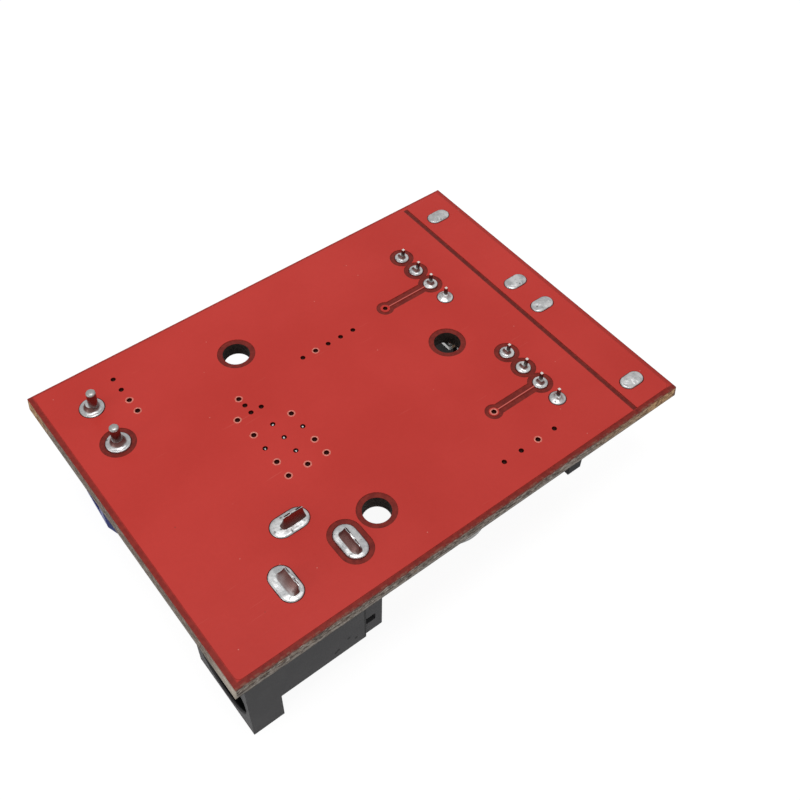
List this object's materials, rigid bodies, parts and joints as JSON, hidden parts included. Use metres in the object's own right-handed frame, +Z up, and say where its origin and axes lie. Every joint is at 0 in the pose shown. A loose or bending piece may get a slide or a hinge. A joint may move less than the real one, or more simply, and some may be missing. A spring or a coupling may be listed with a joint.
{
  "type": "buck converter module",
  "caption": "Rectangular circuit board with a barrel jack and a screw terminal at its input end and USB-A sockets at its output end, power parts on its lower side.",
  "frame": {"origin": "centre of the bounding box at its lowest plane, which is the far side of the barrel jack's flange", "axes": "+X along the board from the input end to the USB end, +Z up out of the solder side, +Y towards the screw terminal's long edge; the board's parts are below it"},
  "size_m": [0.0508, 0.0364, 0.015],
  "materials": {
    "board_laminate": "red solder mask over copper and glass laminate",
    "solder": "bright solder, slightly dulled",
    "terminal_plastic": "blue moulded plastic",
    "clamp_metal": "tin plated brass sheet",
    "screw_steel": "zinc plated steel",
    "guard_steel": "spring steel leaf",
    "jack_plastic": "black moulded plastic",
    "contact_metal": "tin plated brass sheet",
    "shell_steel": "nickel plated steel sheet",
    "socket_plastic": "black moulded plastic",
    "usb_contact_metal": "gold flashed contacts, tinned pins",
    "chip_epoxy": "black moulded epoxy",
    "lead_metal": "tinned leads",
    "ferrite": "dark grey ferrite",
    "enamelled_copper": "enamelled copper wire",
    "can_aluminium": "satin drawn aluminium",
    "base_plastic": "black moulded plastic",
    "capacitor_ceramic": "tan fired ceramic",
    "resistor_ceramic": "black coated ceramic",
    "end_metal": "tinned end caps",
    "led_plastic": "white moulded plastic",
    "led_clear": "tinted clear resin"
  },
  "bodies": {
    "module": {"board": "board_laminate", "solder_input": "solder", "solder_usb": "solder", "terminal_housing": "terminal_plastic", "terminal_clamp_a": "clamp_metal", "terminal_clamp_b": "clamp_metal", "jack_housing": "jack_plastic", "jack_centre_contact": "contact_metal", "jack_sleeve_contact": "contact_metal", "jack_switch_contact": "contact_metal", "usb_shell_a": "shell_steel", "usb_shell_b": "shell_steel", "usb_insulator_a": "socket_plastic", "usb_insulator_b": "socket_plastic", "usb_contacts_a": "usb_contact_metal", "usb_contacts_b": "usb_contact_metal", "buck_chip": "chip_epoxy", "buck_chip_leads": "lead_metal", "inductor_base": "base_plastic", "inductor_terminals": "lead_metal", "inductor_shield": "ferrite", "inductor_core": "ferrite", "inductor_winding": "enamelled_copper", "input_capacitor_can": "can_aluminium", "input_capacitor_base": "base_plastic", "input_capacitor_leads": "lead_metal", "output_capacitor_a_can": "can_aluminium", "output_capacitor_a_base": "base_plastic", "output_capacitor_a_leads": "lead_metal", "output_capacitor_b_can": "can_aluminium", "output_capacitor_b_base": "base_plastic", "output_capacitor_b_leads": "lead_metal", "catch_diode_body": "chip_epoxy", "catch_diode_leads": "lead_metal", "input_diode_body": "chip_epoxy", "input_diode_leads": "lead_metal", "usb_chip_a": "chip_epoxy", "usb_chip_a_leads": "lead_metal", "usb_chip_b": "chip_epoxy", "usb_chip_b_leads": "lead_metal", "chip_capacitors": "capacitor_ceramic", "chip_capacitor_ends": "end_metal", "chip_resistors": "resistor_ceramic", "chip_resistor_ends": "end_metal", "led_base": "led_plastic", "led_lens": "led_clear"},
    "guard_a": {"wire_guard_a": "guard_steel"},
    "screw_a": {"terminal_screw_a": "screw_steel"},
    "guard_b": {"wire_guard_b": "guard_steel"},
    "screw_b": {"terminal_screw_b": "screw_steel"}
  },
  "joints": [
    {"name": "guard_slide_a", "type": "slide", "parent": "module", "child": "guard_a", "axis": [0, 0, 1], "range_m": [0, 0.00202]},
    {"name": "screw_turn_a", "type": "hinge", "parent": "guard_a", "child": "screw_a", "pos_m": [-0.02105, 0.01355, 0.0026], "axis": [0, 0, 1], "range_deg": [0, 1621]},
    {"name": "guard_slide_b", "type": "slide", "parent": "module", "child": "guard_b", "axis": [0, 0, 1], "range_m": [0, 0.00202]},
    {"name": "screw_turn_b", "type": "hinge", "parent": "guard_b", "child": "screw_b", "pos_m": [-0.02105, 0.00847, 0.0026], "axis": [0, 0, 1], "range_deg": [0, 1621]}
  ],
  "couplings": [
    {"joint": "screw_turn_a", "follows": "guard_slide_a", "rad_per_m": 13963},
    {"joint": "screw_turn_b", "follows": "guard_slide_b", "rad_per_m": 13963}
  ]
}
